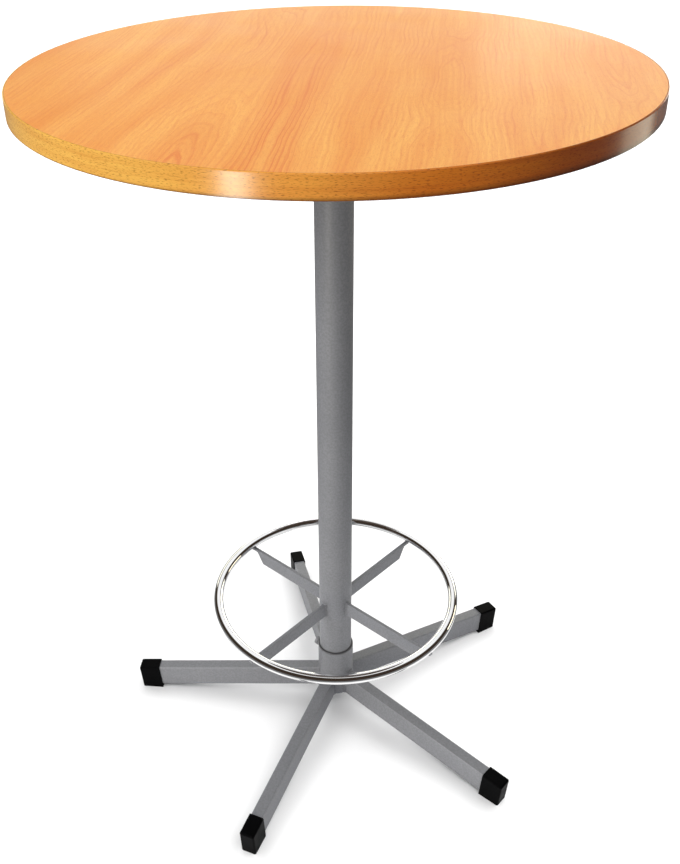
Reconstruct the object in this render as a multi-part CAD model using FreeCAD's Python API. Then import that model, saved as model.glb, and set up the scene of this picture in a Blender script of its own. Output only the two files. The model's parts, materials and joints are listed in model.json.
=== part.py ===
# Bar table: a round laminated top on a tubular column, with a five-legged star base
# and a chromed foot ring carried on four spokes.
# Millimetres, +Z up, origin on the floor under the column's axis, front towards -Y.

import FreeCAD
import Part
import math
import os

# Whole table
TABLE_HEIGHT = 1100.0
TOP_DIAMETER = 800.0

# Table top, from the upper face down, and the band round it
LAMINATE_THICKNESS = 1.0
CORE_THICKNESS = 25.0
BACKING_THICKNESS = 1.0
BAND_THICKNESS = 2.0
BAND_BEVEL = 0.8

# Spider plate that carries the top, and its screws, two on each arm
SPIDER_THICKNESS = 5.0
SPIDER_HUB_DIAMETER = 110.0
SPIDER_REACH = 200.0
SPIDER_ROOT_WIDTH = 64.0
SPIDER_TIP_WIDTH = 32.0
SPIDER_ARMS = 4
SPIDER_ANGLE = 45.0
SCREWS_PER_ARM = 2
SCREW_STEP = 85.0
SCREW_DIAMETER = 5.0
SCREW_LENGTH = 22.0
SCREW_HEAD = 10.0
SCREW_HEAD_HEIGHT = 3.2

# Column and the collar that it stands in
COLUMN_DIAMETER = 54.0
COLUMN_WALL = 2.0
COLLAR_WALL = 2.7
COLLAR_LENGTH = 95.0
COLLAR_BEVEL = 0.8
STOP_THICKNESS = 4.0

# Legs of rectangular tube, in order round the collar
LEG_NAMES = ("front_left", "front_right", "right", "back", "left")
FIRST_LEG_ANGLE = 247.3
LEG_SLOPE = 5.0
LEG_HEIGHT = 40.0
LEG_WIDTH = 20.0
LEG_WALL = 1.5
LEG_CORNER = 2.0

# Plastic boots pulled over the leg ends, which reach out to the base radius
BASE_RADIUS = 354.0
BOOT_LENGTH = 36.0
BOOT_WALL = 2.0
BOOT_END_WALL = 3.0
BOOT_ROUNDING = 3.0
SOLE_THICKNESS = 3.0

# Bolts that clamp the column in the collar, each in a nut welded to the collar behind these legs
CLAMP_AFTER_LEGS = ("right", "back")
CLAMP_DEPTH = 22.0
CLAMP_BOLT_DIAMETER = 8.0
CLAMP_FLATS = 13.0
CLAMP_NUT_THICKNESS = 6.5
CLAMP_HEAD_THICKNESS = 5.3
CLAMP_SHOWING = 1.5

# Foot ring of round tube, and the flat bars on edge that carry it as spokes.
# A spoke's outer end is cut away from below to a thin tongue, with a mitred step behind it.
RING_DIAMETER = 391.0
RING_HEIGHT = 240.0
RING_TUBE = 16.0
RING_WALL = 1.5
SPOKE_NAMES = ("back_right", "back_left", "front_left", "front_right")
FIRST_SPOKE_ANGLE = 48.4
SPOKE_HEIGHT = 25.0
SPOKE_WIDTH = 6.0
SPOKE_CORNER = 0.8
SPOKE_OVERHANG = 5.0
TONGUE_LENGTH = 17.5
TONGUE_THICKNESS = 4.0
SPOKE_MITRE = 13.0

# Screws that hold the ring down on the spoke ends
RING_SCREW_DIAMETER = 3.5
RING_SCREW_HEAD_HEIGHT = 2.2
RING_SCREW_REACH = 5.0

# Clearances
GLUE_GAP = 0.1
WELD_GAP = 0.2
SLIDE_GAP = 0.3
BOOT_GAP = 0.2
SEAT_GAP = 0.2
SCREW_GAP = 0.15

# Directions, and a small length for telling edges apart
ORIGIN = FreeCAD.Vector(0, 0, 0)
OUT = FreeCAD.Vector(1, 0, 0)
ACROSS = FreeCAD.Vector(0, 1, 0)
UP = FreeCAD.Vector(0, 0, 1)
HAIR = 0.001

# Heights and radii worked out from the sizes above
TOP_THICKNESS = LAMINATE_THICKNESS + CORE_THICKNESS + BACKING_THICKNESS
UNDERSIDE = TABLE_HEIGHT - TOP_THICKNESS
CORE_BOTTOM = UNDERSIDE + BACKING_THICKNESS
SHEET_RADIUS = TOP_DIAMETER / 2 - BAND_THICKNESS - GLUE_GAP
SPIDER_BOTTOM = UNDERSIDE - SPIDER_THICKNESS
SPIDER_TIP_CENTRE = SPIDER_REACH - SPIDER_TIP_WIDTH / 2
SCREW_HOLE = SCREW_DIAMETER / 2 + SCREW_GAP
COLUMN_RADIUS = COLUMN_DIAMETER / 2
COLLAR_BORE = COLUMN_RADIUS + SLIDE_GAP
COLLAR_RADIUS = COLLAR_BORE + COLLAR_WALL
CLAMP_HOLE = CLAMP_BOLT_DIAMETER / 2 + SCREW_GAP
RING_RADIUS = RING_DIAMETER / 2
RING_SCREW_HOLE = RING_SCREW_DIAMETER / 2 + SCREW_GAP
SPOKE_TOP = RING_HEIGHT - RING_TUBE / 2 - SEAT_GAP
SPOKE_BOTTOM = SPOKE_TOP - SPOKE_HEIGHT
TONGUE_BOTTOM = SPOKE_TOP - TONGUE_THICKNESS
SPOKE_TIP = RING_RADIUS + SPOKE_OVERHANG

# A leg's own frame has its origin in the middle of the tube's outer end and +X out along the tube.
# The collar ends level with the undersides of the legs where they meet it.
SLOPE = math.radians(LEG_SLOPE)
LEG_TURN = 360 / len(LEG_NAMES)
BOOT_OUTER_END = SEAT_GAP + BOOT_END_WALL
BOOT_TOP = LEG_HEIGHT / 2 + BOOT_GAP + BOOT_WALL
LEG_END_RADIUS = BASE_RADIUS - BOOT_OUTER_END * math.cos(SLOPE) - BOOT_TOP * math.sin(SLOPE)
LEG_END_HEIGHT = SOLE_THICKNESS + LEG_HEIGHT / 2 * math.cos(SLOPE)
LEG_TOE_RADIUS = LEG_END_RADIUS - LEG_HEIGHT / 2 * math.sin(SLOPE)
COLLAR_BOTTOM = SOLE_THICKNESS + (LEG_TOE_RADIUS - COLLAR_RADIUS) * math.tan(SLOPE)
COLLAR_TOP = COLLAR_BOTTOM + COLLAR_LENGTH
COLUMN_BOTTOM = COLLAR_BOTTOM + STOP_THICKNESS
CLAMP_HEIGHT = COLLAR_TOP - CLAMP_DEPTH
NUT_FACE = COLLAR_RADIUS + WELD_GAP + CLAMP_NUT_THICKNESS


def disc(radius, bottom, height):
    """A round disc or rod that stands on the Z axis."""
    return Part.makeCylinder(radius, height, FreeCAD.Vector(0, 0, bottom))


def rod_out(radius, start, length):
    """A round rod along +X."""
    return Part.makeCylinder(radius, length, OUT * start, OUT)


def bar_out(start, length, height, width, corner=0.0):
    """A bar along +X, centred on the axis, with its four long edges rounded."""
    bar = Part.makeBox(length, width, height, FreeCAD.Vector(start, -width / 2, -height / 2))
    if corner <= 0:
        return bar
    return bar.makeFillet(corner, [edge for edge in bar.Edges if edge.BoundBox.XLength > HAIR])


def hexagon_out(flats, start, length):
    """A hexagonal bar along +X."""
    corner = flats / math.sqrt(3)
    turns = [math.radians(60 * side) for side in range(7)]
    outline = [FreeCAD.Vector(start, corner * math.cos(turn), corner * math.sin(turn)) for turn in turns]
    return Part.Face(Part.makePolygon(outline)).extrude(OUT * length)


def edges_at(shape, height):
    """The edges that lie flat at one height."""
    boxes = [(edge, edge.BoundBox) for edge in shape.Edges]
    return [edge for edge, box in boxes if max(abs(box.ZMin - height), abs(box.ZMax - height)) < HAIR]


def moved(shape, offset):
    copy = shape.copy()
    copy.translate(offset)
    return copy


def turned(shape, angle):
    """A copy of the shape, turned about the column's axis."""
    copy = shape.copy()
    copy.rotate(ORIGIN, UP, angle)
    return copy


def cap_screw(seat, diameter, length, head, head_height):
    """An upright screw on the Z axis, with its head below the seat."""
    cap = disc(head / 2, seat - head_height, head_height)
    return cap.fuse(disc(diameter / 2, seat, length)).removeSplitter()


# Table top

def top_core():
    depth = SCREW_LENGTH - SPIDER_THICKNESS - BACKING_THICKNESS + SEAT_GAP
    core = disc(SHEET_RADIUS, CORE_BOTTOM, CORE_THICKNESS)
    return core.cut(at_spider_screws(disc(SCREW_HOLE, CORE_BOTTOM, depth)))


def top_laminate():
    return disc(SHEET_RADIUS, TABLE_HEIGHT - LAMINATE_THICKNESS, LAMINATE_THICKNESS)


def under_laminate():
    sheet = disc(SHEET_RADIUS, UNDERSIDE, BACKING_THICKNESS)
    return sheet.cut(at_spider_screws(disc(SCREW_HOLE, UNDERSIDE, BACKING_THICKNESS)))


def edge_band():
    """A thin hoop as tall as the whole top, with both outer arrises taken off."""
    hoop = disc(TOP_DIAMETER / 2, UNDERSIDE, TOP_THICKNESS)
    hoop = hoop.makeChamfer(BAND_BEVEL, edges_at(hoop, UNDERSIDE) + edges_at(hoop, TABLE_HEIGHT))
    return hoop.cut(disc(TOP_DIAMETER / 2 - BAND_THICKNESS, UNDERSIDE, TOP_THICKNESS))


# Spider under the top

def on_spider_arm(shape, arm):
    return turned(shape, SPIDER_ANGLE + arm * 360 / SPIDER_ARMS)


def at_spider_screws(shape):
    """Copies of a shape that stands on the Z axis, one at each screw of the spider."""
    copies = []
    for arm in range(SPIDER_ARMS):
        for step in range(SCREWS_PER_ARM):
            radius = SPIDER_TIP_CENTRE - step * SCREW_STEP
            copies.append(on_spider_arm(moved(shape, OUT * radius), arm))
    return Part.makeCompound(copies)


def spider_arm():
    """One flat arm that narrows towards its rounded end."""
    root = SPIDER_ROOT_WIDTH / 2
    tip = SPIDER_TIP_WIDTH / 2
    corners = [(0, -root), (SPIDER_TIP_CENTRE, -tip), (SPIDER_TIP_CENTRE, tip), (0, root), (0, -root)]
    outline = Part.makePolygon([FreeCAD.Vector(x, y, SPIDER_BOTTOM) for x, y in corners])
    blade = Part.Face(outline).extrude(UP * SPIDER_THICKNESS)
    nose = moved(disc(tip, SPIDER_BOTTOM, SPIDER_THICKNESS), OUT * SPIDER_TIP_CENTRE)
    return blade.fuse(nose)


def top_spider():
    hub = disc(SPIDER_HUB_DIAMETER / 2, SPIDER_BOTTOM, SPIDER_THICKNESS)
    arms = [on_spider_arm(spider_arm(), arm) for arm in range(SPIDER_ARMS)]
    plate = hub.multiFuse(arms).removeSplitter()
    return plate.cut(at_spider_screws(disc(SCREW_HOLE, SPIDER_BOTTOM, SPIDER_THICKNESS)))


def spider_screws():
    screw = cap_screw(SPIDER_BOTTOM, SCREW_DIAMETER, SCREW_LENGTH, SCREW_HEAD, SCREW_HEAD_HEIGHT)
    return at_spider_screws(screw)


# Column and collar

def column():
    length = SPIDER_BOTTOM - COLUMN_BOTTOM
    tube = disc(COLUMN_RADIUS, COLUMN_BOTTOM, length)
    return tube.cut(disc(COLUMN_RADIUS - COLUMN_WALL, COLUMN_BOTTOM, length))


def at_clamps(shape):
    """Copies of a shape made along +X, one at each clamp of the collar."""
    raised = moved(shape, UP * CLAMP_HEIGHT)
    numbers = [LEG_NAMES.index(name) for name in CLAMP_AFTER_LEGS]
    return Part.makeCompound([turned(raised, FIRST_LEG_ANGLE + (n + 0.5) * LEG_TURN) for n in numbers])


def base_collar():
    """A sleeve with a bevelled rim and a hole for each clamp bolt."""
    sleeve = disc(COLLAR_RADIUS, COLLAR_BOTTOM, COLLAR_LENGTH)
    sleeve = sleeve.makeChamfer(COLLAR_BEVEL, edges_at(sleeve, COLLAR_TOP))
    sleeve = sleeve.cut(disc(COLLAR_BORE, COLLAR_BOTTOM, COLLAR_LENGTH))
    return sleeve.cut(at_clamps(rod_out(CLAMP_HOLE, 0, NUT_FACE)))


def collar_stop():
    return disc(COLLAR_BORE - WELD_GAP, COLLAR_BOTTOM, STOP_THICKNESS)


def clamp_nuts():
    """Hexagon nuts whose inner faces follow the round collar."""
    nut = hexagon_out(CLAMP_FLATS, 0, NUT_FACE)
    nut = nut.cut(disc(COLLAR_RADIUS + WELD_GAP, -CLAMP_FLATS, 2 * CLAMP_FLATS))
    return at_clamps(nut.cut(rod_out(CLAMP_HOLE, 0, NUT_FACE)))


def clamp_bolts():
    """Hexagon bolts that reach through the nut and the collar to the column."""
    start = COLUMN_RADIUS + SEAT_GAP
    head_start = NUT_FACE + CLAMP_SHOWING
    shank = rod_out(CLAMP_BOLT_DIAMETER / 2, start, head_start - start)
    head = hexagon_out(CLAMP_FLATS, head_start, CLAMP_HEAD_THICKNESS)
    return at_clamps(shank.fuse(head).removeSplitter())


# Legs and boots

def lay_on_leg(shape, number):
    """Carry a shape from a leg's own frame to its place on the base."""
    sloped = shape.copy()
    sloped.rotate(ORIGIN, ACROSS, LEG_SLOPE)
    sloped.translate(FreeCAD.Vector(LEG_END_RADIUS, 0, LEG_END_HEIGHT))
    return turned(sloped, FIRST_LEG_ANGLE + number * LEG_TURN)


def leg(number):
    """A sloping rectangular tube, coped to the round collar at its inner end."""
    length = LEG_END_RADIUS / math.cos(SLOPE)
    inner_height = LEG_HEIGHT - 2 * LEG_WALL
    inner_width = LEG_WIDTH - 2 * LEG_WALL
    tube = bar_out(-length, length, LEG_HEIGHT, LEG_WIDTH, LEG_CORNER)
    tube = tube.cut(bar_out(-length, length, inner_height, inner_width, LEG_CORNER - LEG_WALL))
    return lay_on_leg(tube, number).cut(disc(COLLAR_RADIUS + WELD_GAP, 0, COLLAR_TOP + LEG_HEIGHT))


def boot(number):
    """A cap with rounded edges over the leg's end, its sole cut level with the floor."""
    start = BOOT_OUTER_END - BOOT_LENGTH
    socket_height = LEG_HEIGHT + 2 * BOOT_GAP
    socket_width = LEG_WIDTH + 2 * BOOT_GAP
    width = socket_width + 2 * BOOT_WALL
    depth = 2 * LEG_HEIGHT
    block = Part.makeBox(BOOT_LENGTH, width, depth, FreeCAD.Vector(start, -width / 2, BOOT_TOP - depth))
    block = block.makeFillet(BOOT_ROUNDING, boot_edges(block))
    socket = bar_out(start, BOOT_LENGTH - BOOT_END_WALL, socket_height, socket_width, LEG_CORNER)
    ground = disc(BASE_RADIUS + BOOT_LENGTH, -2 * depth, 2 * depth)
    return lay_on_leg(block.cut(socket), number).cut(ground)


def boot_edges(block):
    """The edges along a boot's top and down its outer end."""
    outer = block.BoundBox.XMax - HAIR
    upper = block.BoundBox.ZMax - HAIR
    boxes = [(edge, edge.BoundBox) for edge in block.Edges]
    on_end = [edge for edge, box in boxes if box.XMin > outer and box.ZMax > upper]
    along_top = [edge for edge, box in boxes if box.ZMin > upper and box.XLength > HAIR]
    return on_end + along_top


# Foot ring and spokes

def at_spoke(shape, number):
    return turned(shape, FIRST_SPOKE_ANGLE + number * 360 / len(SPOKE_NAMES))


def at_ring_screws(shape):
    """Copies of a shape that stands on the Z axis, one at each ring screw."""
    out = moved(shape, OUT * RING_RADIUS)
    return Part.makeCompound([at_spoke(out, number) for number in range(len(SPOKE_NAMES))])


def footrest_ring():
    """A hoop of round tube with a screw hole in its underside over each spoke."""
    middle = UP * RING_HEIGHT
    hoop = Part.makeTorus(RING_RADIUS, RING_TUBE / 2, middle)
    hoop = hoop.cut(Part.makeTorus(RING_RADIUS, RING_TUBE / 2 - RING_WALL, middle))
    return hoop.cut(at_ring_screws(disc(RING_SCREW_HOLE, SPOKE_TOP, RING_TUBE / 2)))


def spoke_end():
    """What is cut from under a spoke's outer end, so that only a tongue reaches the ring."""
    step = SPOKE_TIP - TONGUE_LENGTH
    beyond = SPOKE_TIP + SPOKE_WIDTH
    below = SPOKE_BOTTOM - SPOKE_WIDTH
    heel = step - SPOKE_MITRE
    corners = [(beyond, TONGUE_BOTTOM), (step, TONGUE_BOTTOM), (heel, SPOKE_BOTTOM), (heel, below),
               (beyond, below), (beyond, TONGUE_BOTTOM)]
    outline = Part.makePolygon([FreeCAD.Vector(x, -SPOKE_WIDTH, z) for x, z in corners])
    return Part.Face(outline).extrude(ACROSS * 2 * SPOKE_WIDTH)


def spoke(number):
    """A flat bar on edge, coped to the column and cut back to a tongue under the ring."""
    bar = moved(bar_out(0, SPOKE_TIP, SPOKE_HEIGHT, SPOKE_WIDTH, SPOKE_CORNER),
                UP * (SPOKE_TOP - SPOKE_HEIGHT / 2))
    bar = bar.cut(disc(COLUMN_RADIUS + WELD_GAP, SPOKE_BOTTOM - SPOKE_HEIGHT, 3 * SPOKE_HEIGHT))
    bar = bar.cut(spoke_end())
    return at_spoke(bar, number).cut(at_ring_screws(disc(RING_SCREW_HOLE, TONGUE_BOTTOM, TONGUE_THICKNESS)))


def ring_screws():
    """Screws from under each spoke's tongue up into the ring, with heads as wide as the spoke."""
    length = TONGUE_THICKNESS + SEAT_GAP + RING_WALL + RING_SCREW_REACH
    screw = cap_screw(TONGUE_BOTTOM, RING_SCREW_DIAMETER, length, SPOKE_WIDTH, RING_SCREW_HEAD_HEIGHT)
    return at_ring_screws(screw)


def all_pieces():
    pieces = {
        "top_core": top_core(),
        "top_laminate": top_laminate(),
        "under_laminate": under_laminate(),
        "edge_band": edge_band(),
        "top_spider": top_spider(),
        "spider_screws": spider_screws(),
        "column": column(),
        "base_collar": base_collar(),
        "collar_stop": collar_stop(),
        "clamp_nuts": clamp_nuts(),
        "clamp_bolts": clamp_bolts(),
        "footrest_ring": footrest_ring(),
        "ring_screws": ring_screws(),
    }
    for number, name in enumerate(LEG_NAMES):
        pieces["leg_" + name] = leg(number)
        pieces["boot_" + name] = boot(number)
    for number, name in enumerate(SPOKE_NAMES):
        pieces["spoke_" + name] = spoke(number)
    return pieces


os.makedirs("parts", exist_ok=True)
for node, shape in all_pieces().items():
    shape.exportStep("parts/" + node + ".step")
    print(node, "solids", len(shape.Solids), "valid", shape.isValid(), "volume", round(shape.Volume))
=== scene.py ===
# %% [markdown]
# A bar table, finished in Blender
#
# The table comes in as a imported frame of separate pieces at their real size, in metres, with +Z up and
# the front towards -Y. Nothing here moves or resizes those pieces. This lesson gives every surface its
# finish, adds the small things that a workshop leaves behind, such as weld seams and screw recesses, and
# sets up the light and the camera.

# %% Load the frame
import json
import math
import bpy
import bmesh
from mathutils import Matrix, Vector, noise
from mathutils.geometry import convex_hull_2d


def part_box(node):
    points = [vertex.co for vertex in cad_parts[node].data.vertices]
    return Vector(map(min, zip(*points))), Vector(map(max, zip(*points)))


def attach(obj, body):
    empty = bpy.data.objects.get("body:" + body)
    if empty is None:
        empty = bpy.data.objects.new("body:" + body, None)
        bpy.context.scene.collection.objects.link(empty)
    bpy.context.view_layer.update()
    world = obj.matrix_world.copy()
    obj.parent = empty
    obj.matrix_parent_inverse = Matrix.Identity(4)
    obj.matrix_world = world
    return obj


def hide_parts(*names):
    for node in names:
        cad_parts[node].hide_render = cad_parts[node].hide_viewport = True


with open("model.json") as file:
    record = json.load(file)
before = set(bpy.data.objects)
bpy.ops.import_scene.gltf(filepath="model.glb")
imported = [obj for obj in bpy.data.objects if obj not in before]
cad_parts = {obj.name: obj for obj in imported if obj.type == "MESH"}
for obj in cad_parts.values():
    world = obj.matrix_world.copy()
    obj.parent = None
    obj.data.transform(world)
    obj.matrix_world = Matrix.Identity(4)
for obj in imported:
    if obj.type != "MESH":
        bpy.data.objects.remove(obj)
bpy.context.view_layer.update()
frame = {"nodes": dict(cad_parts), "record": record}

# %% [markdown]
# The camera
#
# The photograph was taken by someone who stood in front of the table, a little above the top, and looked
# down. A camera could be placed by eye, but the ellipse of the top, the lean of the column and the five
# feet together give its place, its tilt and its lens, so those values are simply written down here. The
# picture was trimmed a little unevenly, and a small shift of the lens stands for that.

# %% Place the camera
CAMERA_PLACE = Vector((0.0, -1.3108, 1.4097))
CAMERA_DOWN = math.radians(31.711)
CAMERA_TURN = math.radians(-1.574)
CAMERA_ROLL = math.radians(-1.049)
IMAGE_LONG_SIDE = 864
FOCAL_PIXELS = 1029.3
TRIM_RIGHT_PIXELS = 29.35
TRIM_DOWN_PIXELS = 21.75
SENSOR = 36.0
NEAREST_SEEN = 0.05


def camera_axes(down, turn, roll):
    """The camera's right, up and backward directions."""
    ahead = Vector((math.sin(turn) * math.cos(down), math.cos(turn) * math.cos(down), -math.sin(down)))
    right = Vector((math.cos(turn), -math.sin(turn), 0.0))
    up = right.cross(ahead)
    rolled_right = math.cos(roll) * right + math.sin(roll) * up
    rolled_up = math.cos(roll) * up - math.sin(roll) * right
    return rolled_right, rolled_up, -ahead


scene = bpy.context.scene
camera = bpy.data.objects.new("camera", bpy.data.cameras.new("camera"))
scene.collection.objects.link(camera)
axes = Matrix(camera_axes(CAMERA_DOWN, CAMERA_TURN, CAMERA_ROLL)).transposed()
camera.matrix_world = Matrix.Translation(CAMERA_PLACE) @ axes.to_4x4()
camera.data.sensor_width = SENSOR
camera.data.lens = FOCAL_PIXELS * SENSOR / IMAGE_LONG_SIDE
camera.data.shift_x = TRIM_RIGHT_PIXELS / IMAGE_LONG_SIDE
camera.data.shift_y = -TRIM_DOWN_PIXELS / IMAGE_LONG_SIDE
camera.data.clip_start = NEAREST_SEEN
scene.camera = camera
print("camera lens in mm:", round(camera.data.lens, 2))

# %% [markdown]
# Writing materials in short lines
#
# A material is a small graph of nodes. Clicking it together works, but a graph that is written down can
# be read again, so these helpers add one node at a time. An input takes either a plain value or the
# output of another node.

# %% Add a node
def plug(tree, socket, value):
    """Link an input to the output of another node, or set it to a plain value."""
    if isinstance(value, bpy.types.NodeSocket):
        tree.links.new(value, socket)
    else:
        socket.default_value = value


def put(tree, kind, inputs=None, **settings):
    """Add a shader node; inputs are values or sockets, by the input's name or number."""
    made = tree.nodes.new("ShaderNode" + kind)
    for name, value in settings.items():
        setattr(made, name, value)
    for key, value in (inputs or {}).items():
        plug(tree, made.inputs[key], value)
    return made


def feed(tree, node, **inputs):
    """Plug inputs in by name; an underscore in a keyword stands for a space."""
    for name, value in inputs.items():
        plug(tree, node.inputs[name.replace("_", " ")], value)


def say_made(*helpers):
    """Print the names of the helpers that a cell made."""
    print("helpers:", ", ".join(helper.__name__ for helper in helpers))


say_made(plug, put, feed)


# %% Values
def maths(tree, operation, *values):
    """The result of one arithmetic step."""
    return put(tree, "Math", dict(enumerate(values)), operation=operation).outputs[0]


def times(tree, first, second):
    """Two values multiplied."""
    return maths(tree, "MULTIPLY", first, second)


def spread(tree, value, low, high, to_low=0.0, to_high=1.0):
    """Carry a value from one range to another, without going past its ends."""
    return put(tree, "MapRange", {0: value, 1: low, 2: high, 3: to_low, 4: to_high}).outputs[0]


say_made(maths, times, spread)


# %% Vectors and noise
def together(tree, x, y, z):
    """A vector from three values."""
    return put(tree, "CombineXYZ", {0: x, 1: y, 2: z}).outputs[0]


def sides_of(tree, vector):
    """The three values of a vector."""
    return put(tree, "SeparateXYZ", {0: vector}).outputs


def length_of(tree, vector):
    """The length of a vector."""
    return put(tree, "VectorMath", {0: vector}, operation="LENGTH").outputs["Value"]


def grain_noise(tree, place, scale=1.0, detail=2.0):
    """Soft noise from 0 to 1 at a place."""
    return put(tree, "TexNoise", {"Vector": place, "Scale": scale, "Detail": detail}).outputs[0]


def bumped(tree, height, strength, distance):
    """A normal that is disturbed by a height."""
    return put(tree, "Bump", {"Strength": strength, "Distance": distance, "Height": height}).outputs[0]


say_made(together, sides_of, length_of, grain_noise, bumped)


# %% Colours
def colour(red, green, blue):
    """An opaque colour."""
    return (red, green, blue, 1.0)


def mixed(tree, share, first, second, mode="MIX"):
    """A mix of two colours."""
    made = put(tree, "Mix", {0: share, 6: first, 7: second}, data_type="RGBA", blend_type=mode)
    return made.outputs[2]


def touched(tree, tone, over, mask, share, mode="MIX"):
    """A tone with a colour laid over it where a mask is high, up to a share."""
    return mixed(tree, times(tree, mask, share), tone, over, mode)


say_made(colour, mixed, touched)


# %% Materials and groups
def new_material(name):
    """An empty material, its graph, its shader and the place on the object in metres."""
    material = bpy.data.materials.new(name)
    material.use_nodes = True
    tree = material.node_tree
    tree.nodes.clear()
    shader = put(tree, "BsdfPrincipled")
    put(tree, "OutputMaterial", {"Surface": shader.outputs[0]})
    place = put(tree, "TexCoord").outputs["Object"]
    return material, tree, shader, place


def new_group(name, inputs, outputs):
    """A node group with value or vector sockets, what it is given and where its results go."""
    group = bpy.data.node_groups.new(name, "ShaderNodeTree")
    for label, kind in inputs.items():
        group.interface.new_socket(label, in_out="INPUT", socket_type="NodeSocket" + kind)
    for label, kind in outputs.items():
        group.interface.new_socket(label, in_out="OUTPUT", socket_type="NodeSocket" + kind)
    entry = group.nodes.new("NodeGroupInput")
    leave = group.nodes.new("NodeGroupOutput")
    return group, entry.outputs, leave.inputs


def use_group(tree, group, **inputs):
    """Place a node group in a graph and give it its inputs."""
    made = put(tree, "Group", node_tree=group)
    feed(tree, made, **inputs)
    return made.outputs


say_made(new_material, new_group, use_group)

# %% [markdown]
# Effects that several finishes share
#
# Three effects turn up on more than one surface, so each is a node group. Cloudiness is the faint
# unevenness that any coated or handled surface has. Orange peel is the fine ripple of paint and of
# moulded plastic. Beech flecks are the short dark dashes that make beech look like beech, on the top
# as well as on its edge, and the long fibres between them.

# %% Cloudiness
CLOUD_RANGE = (0.3, 0.7)
cloudiness, given, result = new_group("cloudiness", dict(Place="Vector", Size="Float"), dict(Cloud="Float"))
per_metre = maths(cloudiness, "DIVIDE", 1.0, given["Size"])
broad = grain_noise(cloudiness, given["Place"], per_metre, detail=3.0)
cloudiness.links.new(spread(cloudiness, broad, *CLOUD_RANGE), result["Cloud"])


def clouds(tree, place, size):
    """Cloudiness of a size at a place, from 0 to 1."""
    return use_group(tree, cloudiness, Place=place, Size=size)["Cloud"]


print("cloudiness nodes:", len(cloudiness.nodes))

# %% Orange peel
SPECKLES_PER_RIPPLE = 2.7
SPECKLE_RANGE = (0.35, 0.65)
orange_peel, given, result = new_group(
    "orange_peel", dict(Place="Vector", Size="Float"), dict(Height="Float", Speckle="Float"))
per_metre = maths(orange_peel, "DIVIDE", 1.0, given["Size"])
ripple = grain_noise(orange_peel, given["Place"], per_metre, detail=1.5)
speckles_per_metre = times(orange_peel, per_metre, SPECKLES_PER_RIPPLE)
finer = grain_noise(orange_peel, given["Place"], speckles_per_metre, detail=1.0)
orange_peel.links.new(ripple, result["Height"])
orange_peel.links.new(spread(orange_peel, finer, *SPECKLE_RANGE), result["Speckle"])
print("orange peel nodes:", len(orange_peel.nodes))

# %% Beech flecks
FLECK_LENGTH = 0.0045
FLECK_WIDTH = 0.0009
FLECK_RANGE = (0.56, 0.68)
FIBRE_LENGTH = 0.12
FIBRE_WIDTH = 0.0022
FIBRE_RANGE = (0.3, 0.7)
flecks, given, result = new_group(
    "beech_flecks", dict(Along="Float", Across="Float"), dict(Fleck="Float", Fibre="Float"))


def drawn_out(length, width, detail):
    """Noise in the group that is stretched along the grain."""
    along = maths(flecks, "DIVIDE", given["Along"], length)
    across = maths(flecks, "DIVIDE", given["Across"], width)
    return grain_noise(flecks, together(flecks, along, across, 0.0), detail=detail)


fleck = spread(flecks, drawn_out(FLECK_LENGTH, FLECK_WIDTH, 1.0), *FLECK_RANGE)
fibre = spread(flecks, drawn_out(FIBRE_LENGTH, FIBRE_WIDTH, 3.0), *FIBRE_RANGE)
flecks.links.new(fleck, result["Fleck"])
flecks.links.new(fibre, result["Fibre"])
print("groups:", [group.name for group in bpy.data.node_groups])

# %% [markdown]
# The wood-look top
#
# The top is chipboard under a thin laminate with a printed beech figure. A beech board that is sawn flat
# shows arches and long eyes, because the saw crosses the year rings at a shallow angle. The print can be
# built in the same way: each leaf of veneer has a heart line, and the distance from a heart line that
# rises and sinks below the surface gives the rings. One group works out that distance, and four leaves
# with different values make the sheet. Plain stretched noise would be simpler, but it never makes arches.

# %% One leaf of veneer
LONG_EYES = 1.8
LEAF_VALUES = ("Along", "Across", "Heart", "Lean", "Depth", "Swing", "Pitch", "Eye")
leaf, given, result = new_group("veneer_leaf", dict.fromkeys(LEAF_VALUES, "Float"), dict(Distance="Float"))
heart_line = maths(leaf, "MULTIPLY_ADD", given["Lean"], given["Along"], given["Heart"])
aside = maths(leaf, "SUBTRACT", given["Across"], heart_line)
turns = maths(leaf, "DIVIDE", maths(leaf, "SUBTRACT", given["Along"], given["Eye"]), given["Pitch"])
wave = maths(leaf, "COSINE", times(leaf, turns, math.tau))
rise = maths(leaf, "POWER", maths(leaf, "MULTIPLY_ADD", wave, -0.5, 0.5), LONG_EYES)
below = maths(leaf, "MULTIPLY_ADD", rise, given["Swing"], given["Depth"])
squares = maths(leaf, "MULTIPLY_ADD", aside, aside, times(leaf, below, below))
leaf.links.new(maths(leaf, "SQRT", squares), result["Distance"])
print("veneer leaf nodes:", len(leaf.nodes))


# %% Noise along the grain
def stretched(tree, along, across, rates, layer, detail=2.0):
    """Noise with its own rates per metre along and across the grain; each layer is another pattern."""
    place = together(tree, times(tree, along, rates[0]), times(tree, across, rates[1]), layer)
    return grain_noise(tree, place, detail=detail)


def swayed(tree, value, sway, reach):
    """A value that a noise from 0 to 1 moves to either side."""
    return maths(tree, "MULTIPLY_ADD", maths(tree, "SUBTRACT", sway, 0.5), reach, value)


say_made(stretched, swayed)

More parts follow.
